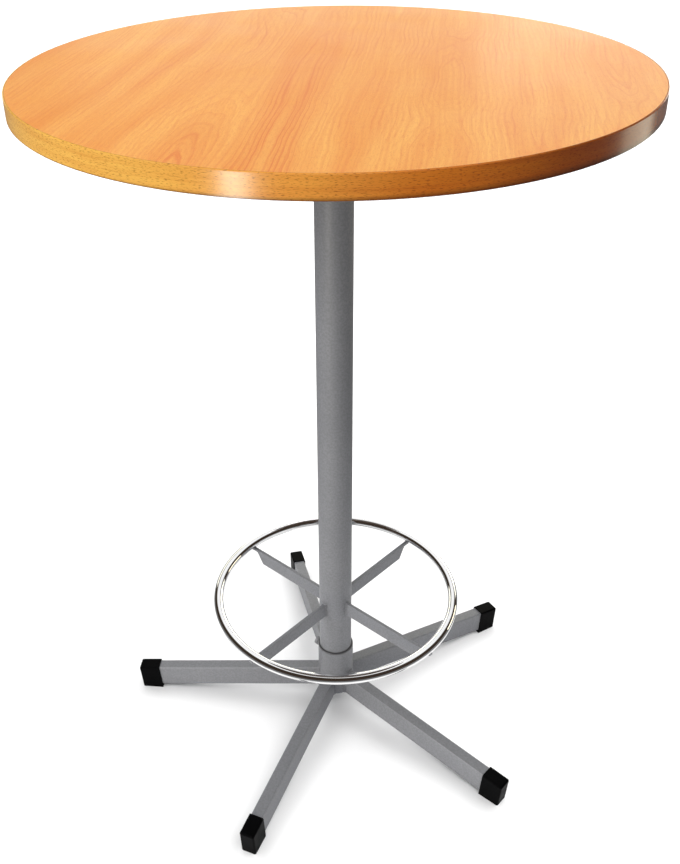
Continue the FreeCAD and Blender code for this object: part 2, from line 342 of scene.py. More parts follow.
# %% The grain of the laminate, which wanders a few millimetres to either side
GRAIN_TURN = math.radians(6.5)
WANDER = dict(rates=(4.0, 9.0), layer=0.0)
WANDER_REACH = 0.024
TREMBLE = dict(rates=(20.0, 60.0), layer=4.0)
TREMBLE_REACH = 0.004
PULL = dict(rates=(7.0, 26.0), layer=6.0)
PULL_REACH = 0.14
beech_laminate, tree, shader, place = new_material("beech_laminate")
to_right, to_back = math.sin(GRAIN_TURN), math.cos(GRAIN_TURN)
sides = sides_of(tree, place)
along = maths(tree, "MULTIPLY_ADD", sides[0], to_right, times(tree, sides[1], to_back))
straight = maths(tree, "MULTIPLY_ADD", sides[0], to_back, times(tree, sides[1], -to_right))
across = swayed(tree, straight, stretched(tree, along, straight, **WANDER), WANDER_REACH)
across = swayed(tree, across, stretched(tree, along, straight, **TREMBLE), TREMBLE_REACH)
pulled = swayed(tree, along, stretched(tree, along, straight, **PULL), PULL_REACH)
print("grain turned by degrees:", round(math.degrees(GRAIN_TURN), 2))

# %% The leaves of the laminate
LEAF_BLEND = 0.03
LEAVES = (
    dict(Heart=-0.102, Lean=0.03, Depth=0.003, Swing=0.070, Pitch=1.5, Eye=-0.62),
    dict(Heart=-0.030, Lean=0.00, Depth=0.001, Swing=0.038, Pitch=2.9, Eye=-0.50),
    dict(Heart=0.146, Lean=0.02, Depth=0.002, Swing=0.023, Pitch=0.355, Eye=-0.045),
    dict(Heart=0.345, Lean=0.05, Depth=0.006, Swing=0.022, Pitch=0.62, Eye=0.14),
)
distances = [use_group(tree, leaf, Along=pulled, Across=across, **sizes)["Distance"] for sizes in LEAVES]
nearest = distances[0]
for distance in distances[1:]:
    nearest = maths(tree, "SMOOTH_MIN", nearest, distance, LEAF_BLEND)
print("leaves in the sheet:", len(distances))

# %% Rings of the laminate
RING_WIDTH = 0.0062
FINE_RING_WIDTH = 0.0023
YEAR_SWAY = 1.4
LINE_START = 0.35
LINE_PEAK = 0.86
LINE_END = 0.98
UNEVEN = dict(rates=(3.0, 70.0), layer=1.0)


def ring_lines(tree, distance, width, unevenness):
    """Thin dark lines where each year ring ends: a slow rise, then a quick fall."""
    years = swayed(tree, maths(tree, "DIVIDE", distance, width), unevenness, YEAR_SWAY)
    share = maths(tree, "FRACT", years)
    rising = spread(tree, share, LINE_START, LINE_PEAK)
    falling = spread(tree, share, LINE_PEAK, LINE_END, 1.0, 0.0)
    return times(tree, times(tree, rising, rising), falling)


unevenness = stretched(tree, along, nearest, **UNEVEN)
rings = ring_lines(tree, nearest, RING_WIDTH, unevenness)
fine_rings = ring_lines(tree, nearest, FINE_RING_WIDTH, unevenness)
print("nodes with the rings:", len(tree.nodes))

# %% Where the rings stand out
PATCH = dict(rates=(3.5, 45.0), layer=9.0)
PATCH_RANGE = (0.44, 0.68, 0.10, 0.54)
PATCH_BARE = (0.004, 0.014, 0.15, 1.0)
HEART_FULL = 0.008
HEART_BARE = (0.003, 0.010, 0.25, 1.0)
BUNDLE_REACH = 0.048
BUNDLE_FADE = (-0.22, 0.25, 1.0, 0.3)
ARCH_REACH = 0.036
ARCH_FADE = (-0.26, -0.10, 0.75, 0.0)


def around_heart(tree, distance, reach):
    """How much the lines stand out near a heart line, but not right on it."""
    near = spread(tree, distance, HEART_FULL, reach, 1.0, 0.0)
    return times(tree, near, spread(tree, distance, *HEART_BARE))


patches = spread(tree, stretched(tree, along, nearest, **PATCH), *PATCH_RANGE)
patches = times(tree, patches, spread(tree, nearest, *PATCH_BARE))
bundle = times(tree, around_heart(tree, distances[1], BUNDLE_REACH), spread(tree, along, *BUNDLE_FADE))
arch = times(tree, around_heart(tree, distances[0], ARCH_REACH), spread(tree, along, *ARCH_FADE))
hearts = maths(tree, "MAXIMUM", bundle, arch)
strength = maths(tree, "MAXIMUM", patches, hearts)
print("nodes with the patches:", len(tree.nodes))

# %% Colour of the laminate
BEECH_PALE = colour(0.88, 0.446, 0.094)
BEECH_MID = colour(0.79, 0.300, 0.044)
BEECH_LINE = colour(0.68, 0.135, 0.012)
BEECH_FLECK = colour(0.50, 0.12, 0.020)
BROAD = dict(rates=(1.6, 22.0), layer=2.0, detail=3.0)
BROAD_RANGE = (0.32, 0.68)
STREAK = dict(rates=(5.0, 300.0), layer=7.0)
STREAK_RANGE = (0.42, 0.64)
DASH = dict(rates=(70.0, 420.0), layer=8.0)
DASH_RANGE = (0.50, 0.68)
BLUSH_SHARE = 0.20
STREAK_SHARE = 0.28
DASH_SHARE = 0.28
FIBRE_SHARE = 0.28
FINE_RING_SHARE = 0.40
FLECK_SHARE = 0.30
wood = use_group(tree, flecks, Along=along, Across=across)
broad = spread(tree, stretched(tree, along, nearest, **BROAD), *BROAD_RANGE)
streaks = spread(tree, stretched(tree, along, across, **STREAK), *STREAK_RANGE)
dashes = spread(tree, stretched(tree, along, across, **DASH), *DASH_RANGE)
lines = maths(tree, "MULTIPLY_ADD", fine_rings, FINE_RING_SHARE, rings)
tone = mixed(tree, broad, BEECH_MID, BEECH_PALE)
tone = touched(tree, tone, BEECH_LINE, hearts, BLUSH_SHARE)
tone = touched(tree, tone, BEECH_LINE, streaks, STREAK_SHARE)
tone = touched(tree, tone, BEECH_LINE, dashes, DASH_SHARE)
tone = touched(tree, tone, BEECH_MID, wood["Fibre"], FIBRE_SHARE)
tone = touched(tree, tone, BEECH_LINE, lines, strength)
tone = touched(tree, tone, BEECH_FLECK, wood["Fleck"], FLECK_SHARE)
print("nodes with the colour:", len(tree.nodes))

# %% Sheen of the laminate
LAMINATE_CLOUD = 0.12
LAMINATE_ROUGHNESS = (0.33, 0.39)
LAMINATE_BUMP = (0.05, 0.0002)


def coat(tree, shader, tone, cloud, roughness, height, bump, **others):
    """Give a shader its colour, a cloudy roughness and a bump."""
    feed(tree, shader, Base_Color=tone, Roughness=spread(tree, cloud, 0.0, 1.0, *roughness),
         Normal=bumped(tree, height, *bump), **others)


cloud = clouds(tree, place, LAMINATE_CLOUD)
coat(tree, shader, tone, cloud, LAMINATE_ROUGHNESS, wood["Fibre"], LAMINATE_BUMP)
print("laminate nodes:", len(tree.nodes))

# %% [markdown]
# The edge band
#
# A thin plastic band with a printed wood grain is glued round the top. Its grain runs along the band, so
# the pattern has to bend round with it. A flat projection would smear at the sides, so the angle round
# the column, times the radius, gives the distance along the band. That distance jumps where the circle
# closes, and turning the jump to the back makes it the butt joint that every such band has. Its colour
# goes from gold at the left to a dark brown at the right, which is painted light and shade, and a painted
# shade darkens it along the lower rim.

# %% The band's colour, with painted light and shade from left to right
# Gold where the light falls at the left, dark brown at the right: painted light and shade along X.
BAND_LIT_TO_SHADED = {
    -0.22: colour(0.78, 0.456, 0.092),
    -0.03: colour(0.82, 0.362, 0.058),
    0.105: colour(0.72, 0.220, 0.017),
    0.26: colour(0.38, 0.086, 0.003),
}


def drift(tree, value, stops):
    """A colour that changes smoothly through several others as a value grows."""
    start, end = min(stops), max(stops)
    made = put(tree, "ValToRGB", {0: spread(tree, value, start, end)})
    made.color_ramp.interpolation = "EASE"
    steps = made.color_ramp.elements
    steps[0].color = stops[start]
    steps[1].color = stops[end]
    for at in sorted(stops)[1:-1]:
        steps.new((at - start) / (end - start)).color = stops[at]
    return made.outputs[0]


beech_edging, tree, shader, place = new_material("beech_edging")
sides = sides_of(tree, place)
tone = drift(tree, sides[0], BAND_LIT_TO_SHADED)
print("colours along the band:", len(BAND_LIT_TO_SHADED))

# %% Grain, painted shade along the rim, and joint of the band
BAND_LINE = colour(0.62, 0.34, 0.20)
BAND_FLECK = colour(0.26, 0.14, 0.11)
BAND_RIM_SHADE = colour(0.16, 0.12, 0.14)
BAND_BROAD = dict(rates=(9.0, 90.0), layer=3.0, detail=3.0)
BAND_BROAD_RANGE = (0.3, 0.7, 0.0, 0.35)
BAND_FIBRE_SHARE = 0.30
BAND_FLECK_SHARE = 0.55
BAND_RIM_SHADE_HEIGHT = (0.0022, 0.0085)
BAND_JOINT = (0.0002, 0.0005)
band_low, band_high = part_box("edge_band")
band_radius = (band_high.x - band_low.x) / 2
angle = maths(tree, "ARCTAN2", sides[0], times(tree, sides[1], -1.0))
along = times(tree, angle, band_radius)
wood = use_group(tree, flecks, Along=along, Across=sides[2])
broad = spread(tree, stretched(tree, along, sides[2], **BAND_BROAD), *BAND_BROAD_RANGE)
above_rim = maths(tree, "SUBTRACT", sides[2], band_low.z)
rim_shade_height = spread(tree, sides[0], min(BAND_LIT_TO_SHADED), max(BAND_LIT_TO_SHADED), *BAND_RIM_SHADE_HEIGHT)
to_joint = maths(tree, "SUBTRACT", math.pi * band_radius, maths(tree, "ABSOLUTE", along))
tone = mixed(tree, broad, tone, BAND_LINE, "MULTIPLY")
tone = touched(tree, tone, BAND_LINE, wood["Fibre"], BAND_FIBRE_SHARE, "MULTIPLY")
tone = touched(tree, tone, BAND_FLECK, wood["Fleck"], BAND_FLECK_SHARE, "MULTIPLY")
# Painted shade along the lower rim, taller towards the right.
tone = mixed(tree, spread(tree, above_rim, 0.0, rim_shade_height, 1.0, 0.0), tone, BAND_RIM_SHADE, "MULTIPLY")
tone = mixed(tree, spread(tree, to_joint, *BAND_JOINT, 1.0, 0.0), tone, BAND_FLECK, "MULTIPLY")
print("edge band radius:", round(band_radius, 4))

# %% Sheen of the band
BAND_CLOUD = 0.05
BAND_ROUGHNESS = (0.18, 0.24)
BAND_BUMP = (0.06, 0.0002)
BAND_GLOSS = 0.4
cloud = clouds(tree, place, BAND_CLOUD)
coat(tree, shader, tone, cloud, BAND_ROUGHNESS, wood["Fibre"], BAND_BUMP, Specular_IOR_Level=BAND_GLOSS)
print("edge band nodes:", len(tree.nodes))

# %% [markdown]
# The grey paint
#
# The column, the legs and the spokes are powder coated in silver grey. The coat is baked from powder, so it
# has a fine ripple, tiny bright flakes and a faint mottle. Low down, the level upper faces of the legs and
# spokes are darkened as painted shade, their rounded corners are lightened as a painted highlight, and a
# painted shade darkens the paint where the column stands in the collar. These marks could be painted on by
# hand, but the direction of the surface and its height say where they belong, so they come from those.

# %% A coat of silver grey
PAINT_DARK = colour(0.222, 0.227, 0.246)
PAINT_PALE = colour(0.251, 0.256, 0.276)
PAINT_FLAKE = colour(0.34, 0.345, 0.36)
PAINT_MOTTLE = colour(0.150, 0.153, 0.165)
PAINT_CLOUD = 0.09
PAINT_PEEL = 0.0016
MOTTLE_SIZE = 0.008
FLAKE_SHARE = 0.14
MOTTLE_SHARE = 0.40
grey_paint, tree, shader, place = new_material("grey_paint")
peel = use_group(tree, orange_peel, Place=place, Size=PAINT_PEEL)
mottle = use_group(tree, orange_peel, Place=place, Size=MOTTLE_SIZE)["Speckle"]
cloud = clouds(tree, place, PAINT_CLOUD)
tone = mixed(tree, cloud, PAINT_DARK, PAINT_PALE)
tone = touched(tree, tone, PAINT_FLAKE, peel["Speckle"], FLAKE_SHARE)
tone = touched(tree, tone, PAINT_MOTTLE, mottle, MOTTLE_SHARE)
print("paint nodes:", len(tree.nodes))

# %% Painted shade on level upper faces and a painted highlight at their corners, low down
LOW_MARKS_HEIGHT = 0.26
UPPER_FACE_SHADE_TONE = colour(0.11, 0.11, 0.115)
UPPER_FACE_SHADE_SHARE = 0.16
LEVEL_FACE = (0.93, 0.98)
CORNER_HIGHLIGHT_TONE = colour(0.42, 0.42, 0.44)
CORNER_HIGHLIGHT_SHARE = 0.3
CORNER_STARTS = (0.25, 0.55)
CORNER_ENDS = (0.80, 0.95)
sides = sides_of(tree, place)
upward = sides_of(tree, put(tree, "NewGeometry").outputs["Normal"])[2]
below_marks_height = maths(tree, "LESS_THAN", sides[2], LOW_MARKS_HEIGHT)
upper_face_shade = spread(tree, upward, *LEVEL_FACE, 0.0, UPPER_FACE_SHADE_SHARE)
# Painted highlight: the rounded corners between upper and side faces are lighter.
corner = spread(tree, upward, *CORNER_ENDS, CORNER_HIGHLIGHT_SHARE, 0.0)
corner = times(tree, spread(tree, upward, *CORNER_STARTS), corner)
# Painted shade: the level upper faces low down are darker, as under the top's shadow.
tone = touched(tree, tone, UPPER_FACE_SHADE_TONE, upper_face_shade, below_marks_height)
tone = touched(tree, tone, CORNER_HIGHLIGHT_TONE, corner, below_marks_height)
print("paint nodes with wear:", len(tree.nodes))

# %% Painted shade at the collar's rim, and the sheen of the paint
COLLAR_SHADE_TONE = colour(0.045, 0.043, 0.042)
COLLAR_SHADE_SHARE = 0.65
COLLAR_SHADE_HEIGHT = (0.0004, 0.0026)
COLLAR_SHADE_REACH = 0.001
PAINT_ROUGHNESS = (0.46, 0.54)
PAINT_BUMP = (0.10, 0.0003)
PAINT_METAL = 0.15
PAINT_GLOSS = 0.35
collar_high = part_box("base_collar")[1]
from_axis = length_of(tree, together(tree, sides[0], sides[1], 0.0))
at_collar = maths(tree, "LESS_THAN", from_axis, collar_high.x + COLLAR_SHADE_REACH)
from_rim = maths(tree, "ABSOLUTE", maths(tree, "SUBTRACT", sides[2], collar_high.z))
# Painted shade in the gap where the column stands in the collar.
tone = touched(tree, tone, COLLAR_SHADE_TONE, spread(tree, from_rim, *COLLAR_SHADE_HEIGHT, COLLAR_SHADE_SHARE, 0.0), at_collar)
coat(tree, shader, tone, cloud, PAINT_ROUGHNESS, peel["Height"], PAINT_BUMP,
     Metallic=PAINT_METAL, Specular_IOR_Level=PAINT_GLOSS)
print("collar rim at height:", round(collar_high.z, 4))

# %% [markdown]
# Chrome, plastic and zinc
#
# The foot ring is chromed tube. The boots are moulded plastic with a faint grain from the mould. The
# screws are zinc plated, a little uneven in colour. A single colour would do from far away, but close up
# each of them varies, so each is one shader whose colour, roughness and, except on the smooth chrome,
# bump come from the shared groups at its own scale.

# %% Chrome plate
CHROME_DARK = colour(0.84, 0.84, 0.85)
CHROME_PALE = colour(0.90, 0.90, 0.90)
CHROME_CLOUD = 0.03
CHROME_ROUGHNESS = (0.035, 0.075)
chrome_plate, tree, shader, place = new_material("chrome_plate")
cloud = clouds(tree, place, CHROME_CLOUD)
feed(tree, shader, Base_Color=mixed(tree, cloud, CHROME_DARK, CHROME_PALE), Metallic=1.0,
     Roughness=spread(tree, cloud, 0.0, 1.0, *CHROME_ROUGHNESS))
print("chrome nodes:", len(tree.nodes))

# %% Black moulded plastic
PLASTIC_DARK = colour(0.0008, 0.0008, 0.0010)
PLASTIC_PALE = colour(0.0016, 0.0016, 0.0018)
PLASTIC_SPECKLE = colour(0.005, 0.005, 0.0054)
PLASTIC_SPECKLE_SHARE = 0.2
PLASTIC_CLOUD = 0.02
PLASTIC_PEEL = 0.0011
PLASTIC_ROUGHNESS = (0.36, 0.48)
PLASTIC_BUMP = (0.18, 0.0003)
PLASTIC_GLOSS = 0.02
black_plastic, tree, shader, place = new_material("black_plastic")
peel = use_group(tree, orange_peel, Place=place, Size=PLASTIC_PEEL)
cloud = clouds(tree, place, PLASTIC_CLOUD)
tone = mixed(tree, cloud, PLASTIC_DARK, PLASTIC_PALE)
tone = touched(tree, tone, PLASTIC_SPECKLE, peel["Speckle"], PLASTIC_SPECKLE_SHARE)
coat(tree, shader, tone, cloud, PLASTIC_ROUGHNESS, peel["Height"], PLASTIC_BUMP,
     Specular_IOR_Level=PLASTIC_GLOSS)
print("plastic nodes:", len(tree.nodes))

# %% Zinc-plated steel
ZINC_YELLOWED = colour(0.56, 0.55, 0.50)
ZINC_BRIGHT = colour(0.70, 0.70, 0.69)
ZINC_CLOUD = 0.004
ZINC_PEEL = 0.0008
ZINC_ROUGHNESS = (0.26, 0.42)
ZINC_BUMP = (0.05, 0.0002)
zinc_steel, tree, shader, place = new_material("zinc_steel")
cloud = clouds(tree, place, ZINC_CLOUD)
peel = use_group(tree, orange_peel, Place=place, Size=ZINC_PEEL)
tone = mixed(tree, cloud, ZINC_YELLOWED, ZINC_BRIGHT)
coat(tree, shader, tone, cloud, ZINC_ROUGHNESS, peel["Height"], ZINC_BUMP, Metallic=1.0)
print("zinc nodes:", len(tree.nodes))

# %% [markdown]
# What is under the top
#
# The underside is covered with a brown backing sheet, which keeps the board from bowing: resin-soaked
# paper with a fibrous, slightly blotchy look. Its brown is darker than the paper's own, as painted shade
# for the underside that the top keeps out of the light. The chipboard between the sheets can't be seen,
# but it is a piece of the table too, so it gets its pressed chips from a cell pattern.

# %% Backing sheet
# The sheet's own brown, darkened further as painted shade for the underside.
BACKING_SHADED_DARK = colour(0.060, 0.040, 0.028)
BACKING_SHADED_PALE = colour(0.092, 0.062, 0.044)
BACKING_FLECK = colour(0.14, 0.10, 0.07)
BACKING_FLECK_SHARE = 0.25
BACKING_CLOUD = 0.05
BACKING_ROUGHNESS = (0.45, 0.60)
BACKING_BUMP = (0.08, 0.0002)
backing_sheet, tree, shader, place = new_material("backing_sheet")
sides = sides_of(tree, place)
wood = use_group(tree, flecks, Along=sides[0], Across=sides[1])
cloud = clouds(tree, place, BACKING_CLOUD)
tone = mixed(tree, cloud, BACKING_SHADED_DARK, BACKING_SHADED_PALE)
tone = touched(tree, tone, BACKING_FLECK, wood["Fleck"], BACKING_FLECK_SHARE)
coat(tree, shader, tone, cloud, BACKING_ROUGHNESS, wood["Fibre"], BACKING_BUMP)
print("backing sheet nodes:", len(tree.nodes))

# %% Chipboard
CHIP_DARK = colour(0.42, 0.28, 0.15)
CHIP_PALE = colour(0.72, 0.56, 0.36)
CHIPS_PER_METRE = 320.0
CHIP_CLOUD = 0.01
CHIP_ROUGHNESS = (0.75, 0.9)
CHIP_BUMP = (0.3, 0.0005)
chipboard, tree, shader, place = new_material("chipboard")
chips = put(tree, "TexVoronoi", {"Vector": place, "Scale": CHIPS_PER_METRE}).outputs
cloud = clouds(tree, place, CHIP_CLOUD)
chip = put(tree, "SeparateColor", {0: chips["Color"]}).outputs[0]
tone = mixed(tree, chip, CHIP_DARK, CHIP_PALE)
coat(tree, shader, tone, cloud, CHIP_ROUGHNESS, chips["Distance"], CHIP_BUMP)
print("chipboard nodes:", len(tree.nodes))

# %% Give the frame's pieces their finishes
FINISHES = dict(
    beech_laminate=beech_laminate, beech_edging=beech_edging, backing_sheet=backing_sheet,
    chipboard=chipboard, grey_paint=grey_paint, chrome_plate=chrome_plate,
    black_plastic=black_plastic, zinc_steel=zinc_steel)
for row in frame["record"]["subparts"]:
    for spot in frame["nodes"][row["node"]].material_slots:
        spot.material = FINISHES[row["material_slot"]]

# %% [markdown]
# From a mesh to a piece
#
# Everything that is added below starts as points in space. Most of it is round, so the points stand in
# rings, and each ring is joined to the next by a belt of faces. Blender has ready-made cylinders, but
# rings can follow any path and swell on the way. The finished mesh then becomes a piece that rides on the
# table.

# %% Rings and skins
def turns_of(steps):
    """Even turns once round, in radians."""
    return [math.tau * step / steps for step in range(steps)]


def circle(mesh, middle, radius, first, second, steps):
    """A ring of points round a middle, in the plane of two directions."""
    return [mesh.verts.new(middle + radius * (math.cos(turn) * first + math.sin(turn) * second))
            for turn in turns_of(steps)]


def skin(mesh, rings):
    """Faces between each ring and the next."""
    for ring, following in zip(rings, rings[1:]):
        for k in range(len(ring)):
            mesh.faces.new((ring[k - 1], ring[k], following[k], following[k - 1]))


say_made(turns_of, circle, skin)

# %% Make a mesh into a piece of the table
SHARP_EDGE = math.radians(38)


def finished(name, mesh, slot):
    """A piece that rides on the table, shaded smooth except at sharp edges, in one of the finishes."""
    bmesh.ops.recalc_face_normals(mesh, faces=mesh.faces)
    data = bpy.data.meshes.new(name)
    mesh.to_mesh(data)
    mesh.free()
    data.shade_smooth()
    data.set_sharp_from_angle(angle=SHARP_EDGE)
    data.materials.append(FINISHES[slot])
    piece = bpy.data.objects.new(name, data)
    scene.collection.objects.link(piece)
    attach(piece, "root")
    return piece


say_made(finished)

# %% [markdown]
# Weld seams
#
# The legs, the spokes and the spider are welded on, and a torch led by hand leaves a bead of overlapping
# ripples, which the paint then covers. A bump in the paint could hint at it, but a bead stands a
# millimetre or two proud and shows in outline. So each bead is a tube along its seam whose thickness rises
# and falls with every ripple. The seams themselves are read from the frame: they are the outlines of the
# leg and spoke ends, cut to fit the round collar and the round column, and the column's upper rim.

# %% Measure the seams
NEARLY = 0.0006


def without_copies(places):
    """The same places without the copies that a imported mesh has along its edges."""
    return list({tuple(round(x, 6) for x in place): place for place in places}.values())


def cut_outline(node_name, radius):
    """The outer outline of an end that was cut to fit a round surface, in order round it."""
    vertices = frame["nodes"][node_name].data.vertices
    near = without_copies([v.co.copy() for v in vertices if abs(v.co.xy.length - radius) < NEARLY])
    middle = sum(near, Vector()) / len(near)
    side = Vector((-middle.y, middle.x, 0.0)).normalized()
    return [near[index] for index in convex_hull_2d([Vector((co.dot(side), co.z)) for co in near])]


def half_width(node_name):
    """Half of a node's size along X."""
    low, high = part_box(node_name)
    return (high.x - low.x) / 2


collar_radius = half_width("base_collar")
column_radius = half_width("column")
print("collar radius:", round(collar_radius, 4), "column radius:", round(column_radius, 4))

# %% Find the seams
WELD_GAP = 0.0002
RIM_CORNERS = 48
seams = {}
for node_name in frame["nodes"]:
    if node_name.startswith("leg_"):
        seams["weld_" + node_name] = cut_outline(node_name, collar_radius + WELD_GAP)
    elif node_name.startswith("spoke_"):
        seams["weld_" + node_name] = cut_outline(node_name, column_radius + WELD_GAP)
column_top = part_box("column")[1].z
seams["weld_spider"] = [
    Vector((column_radius * math.cos(turn), column_radius * math.sin(turn), column_top))
    for turn in turns_of(RIM_CORNERS)]
print("seams:", {name: len(outline) for name, outline in seams.items()})

# %% How a bead runs and swells
BEAD_RADIUS = 0.0019
BEAD_THINNEST = 0.84
BEAD_CREST = 0.18
BEAD_WANDER = 0.12
WANDERS_PER_METRE = 240
RIPPLE = 0.0024


def even_steps(outline, step):
    """Places at even steps along a closed outline, laid back on the round surface that it lies on."""
    radius = max(corner.xy.length for corner in outline)
    places = []
    for start, end in zip(outline, outline[1:] + outline[:1]):
        count = max(1, round((end - start).length / step))
        places += [start.lerp(end, k / count) for k in range(count)]
    return [Vector((*(place.xy.normalized() * radius), place.z)) for place in places]


def bead_thickness(place, travelled):
    """The bead swells once in each ripple, and wanders a little as a hand does."""
    share = travelled / RIPPLE % 1
    crest = 1 - (2 * share - 1) ** 2
    wander = noise.noise(place * WANDERS_PER_METRE)
    return BEAD_RADIUS * (BEAD_THINNEST + BEAD_CREST * crest + BEAD_WANDER * wander)


say_made(even_steps, bead_thickness)

# %% Draw the beads
STEPS_PER_RIPPLE = 5
BEAD_SIDES = 8


def weld_bead(name, outline):
    """A closed tube along a seam."""
    path = even_steps(outline, RIPPLE / STEPS_PER_RIPPLE)
    mesh = bmesh.new()
    rings = []
    travelled = 0.0
    for before, place, after in zip(path[-1:] + path[:-1], path, path[1:] + path[:1]):
        out = Vector((place.x, place.y, 0.0)).normalized()
        aside = (after - before).normalized().cross(out)
        rings.append(circle(mesh, place, bead_thickness(place, travelled), out, aside, BEAD_SIDES))
        travelled += (after - place).length
    skin(mesh, rings + rings[:1])
    return finished(name, mesh, "grey_paint")


beads = [weld_bead(name, outline) for name, outline in seams.items()]
print("weld beads:", len(beads), "faces:", sum(len(bead.data.polygons) for bead in beads))

# %% [markdown]
# The chromed ring
#
# The ring is a tube that was bent to a hoop, welded end to end, ground smooth and chromed. Chrome shows
# every facet of a mesh as a kink in its reflections, and the frame's ring is only as fine as its fit
# needs. So the looks get a hoop with many more steps, made from two circles: one round the column and one
# round the tube. Where the ends were welded, the grinding left a faint swelling. It sits over a spoke,
# where it hardly shows.

# %% Bend the ring
HOOP_STEPS = 360
TUBE_STEPS = 40
JOINT_SWELL = 0.00012
JOINT_LENGTH = 0.003
UP = Vector((0.0, 0.0, 1.0))
ring_low, ring_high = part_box("footrest_ring")
tube_radius = (ring_high.z - ring_low.z) / 2
hoop_radius = half_width("footrest_ring") - tube_radius
hoop_height = (ring_low.z + ring_high.z) / 2
spoke_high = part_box("spoke_back_right")[1]
joint_turn = math.atan2(spoke_high.y, spoke_high.x)


def hoop_ring(mesh, turn):
    """One circle of the tube, a little swollen near the joint."""
    away = math.remainder(turn - joint_turn, math.tau) * hoop_radius
    radius = tube_radius + JOINT_SWELL * math.exp(-(away / JOINT_LENGTH) ** 2)
    out = Vector((math.cos(turn), math.sin(turn), 0.0))
    return circle(mesh, out * hoop_radius + UP * hoop_height, radius, out, UP, TUBE_STEPS)


hoop = bmesh.new()
hoop_rings = [hoop_ring(hoop, turn) for turn in turns_of(HOOP_STEPS)]
skin(hoop, hoop_rings + hoop_rings[:1])
chromed_ring = finished("chromed_ring", hoop, "chrome_plate")
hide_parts("footrest_ring")
print("ring radius:", round(hoop_radius, 4), "tube radius:", round(tube_radius, 4))

# %% [markdown]
# Screws and bolts
#
# The frame has a plain solid for each screw and bolt. A real screw has a rounded head with a cross cut
# into it for the driver, and a thread. A bump map can't show a recess that one looks into, so the screws
# are made again as meshes, ring by ring: each ring of points is one step along the screw, the thread is a
# radius that winds round with the height, and the cross is a hole in the face with tapered walls. Their
# sizes and places are measured on the frame's own solids, which they replace.

# %% Measure the solids
def solids_of(node_name, apart):
    """The places on each solid of a node whose solids are further apart than they are long."""
    solids = []
    for vertex in frame["nodes"][node_name].data.vertices:
        home = next((solid for solid in solids if (solid[0] - vertex.co).length < apart), None)
        if home is None:
            solids.append([vertex.co.copy()])
        else:
            home.append(vertex.co.copy())
    return solids


def levels_of(values):
    """The different values among many, in order, to a tenth of a millimetre."""
    return sorted({round(value, 4) for value in values})


def middle_of(values):
    """Half way between the least and the greatest value."""
    return (min(values) + max(values)) / 2


def add_to(whole, one, where):
    """Add a mesh to another at its place, and let go of it."""
    data = bpy.data.meshes.new("one")
    one.to_mesh(data)
    one.free()
    data.transform(where)
    whole.from_mesh(data)
    bpy.data.meshes.remove(data)


say_made(solids_of, levels_of, middle_of, add_to)

# %% Rings along a screw
TURN_STEPS = 24


def at_turn(value, turn):
    """A value that is a number, or else a function of the turn."""
    return value(turn) if callable(value) else value


def ring_at(mesh, height, radius, steps=TURN_STEPS):
    """A ring of points round the Z axis; its height and radius are numbers or functions of the turn."""
    ring = []
    for turn in turns_of(steps):
        reach = at_turn(radius, turn)
        ring.append(mesh.verts.new((reach * math.cos(turn), reach * math.sin(turn), at_turn(height, turn))))
    return ring


print("steps round a screw:", TURN_STEPS)

# %% Threads
THREAD_ROWS = 5
THREAD_CORE = 0.76
THREAD_SHARPNESS = 2.2
THREAD_TIP = 0.7


def wound(height, radius, pitch):
    """The reach of a thread at a height, as a function of the turn."""
    def reach(turn):
        share = (height / pitch - turn / math.tau) % 1
        crest = max(0.0, 1 - THREAD_SHARPNESS * abs(2 * share - 1))
        return radius * (THREAD_CORE + (1 - THREAD_CORE) * crest)
    return reach


def thread_rings(mesh, start, end, radius, pitch, steps=TURN_STEPS):
    """Rings whose radius winds round once in each pitch, with a smaller one to end on."""
    rows = round(abs(end - start) / pitch * THREAD_ROWS)
    heights = [start + (end - start) * row / rows for row in range(rows + 1)]
    rings = [ring_at(mesh, height, wound(height, radius, pitch), steps) for height in heights]
    return rings + [ring_at(mesh, end, radius * THREAD_CORE * THREAD_TIP, steps)]


print("rings in each turn of a thread:", THREAD_ROWS)

# %% The cross in a screw's head
CROSS_REACH = 0.50
CROSS_HALF_WIDTH = 0.12
CROSS_DEPTH = 0.62
CROSS_TAPER = 0.62
CROSS_ARMS = 4


def cross_outline(mesh, size, height):
    """The twelve corners of a cross."""
    long, short = CROSS_REACH * size, CROSS_HALF_WIDTH * size
    arm = [(long, -short), (long, short), (short, short)]
    corners = []
    for _ in range(CROSS_ARMS):
        corners += [mesh.verts.new((x, y, height)) for x, y in arm]
        arm = [(-y, x) for x, y in arm]
    return corners


def closed_edges(mesh, loop):
    """The edges from each point of a loop to the next."""
    return [mesh.edges.get((a, b)) or mesh.edges.new((a, b)) for a, b in zip(loop, loop[1:] + loop[:1])]


say_made(cross_outline, closed_edges)

# %% A screw with a cross recess
HEAD_PROFILE = ((1.0, 0.0), (1.0, 0.28), (0.97, 0.52), (0.90, 0.75), (0.80, 0.91), (0.68, 1.0))


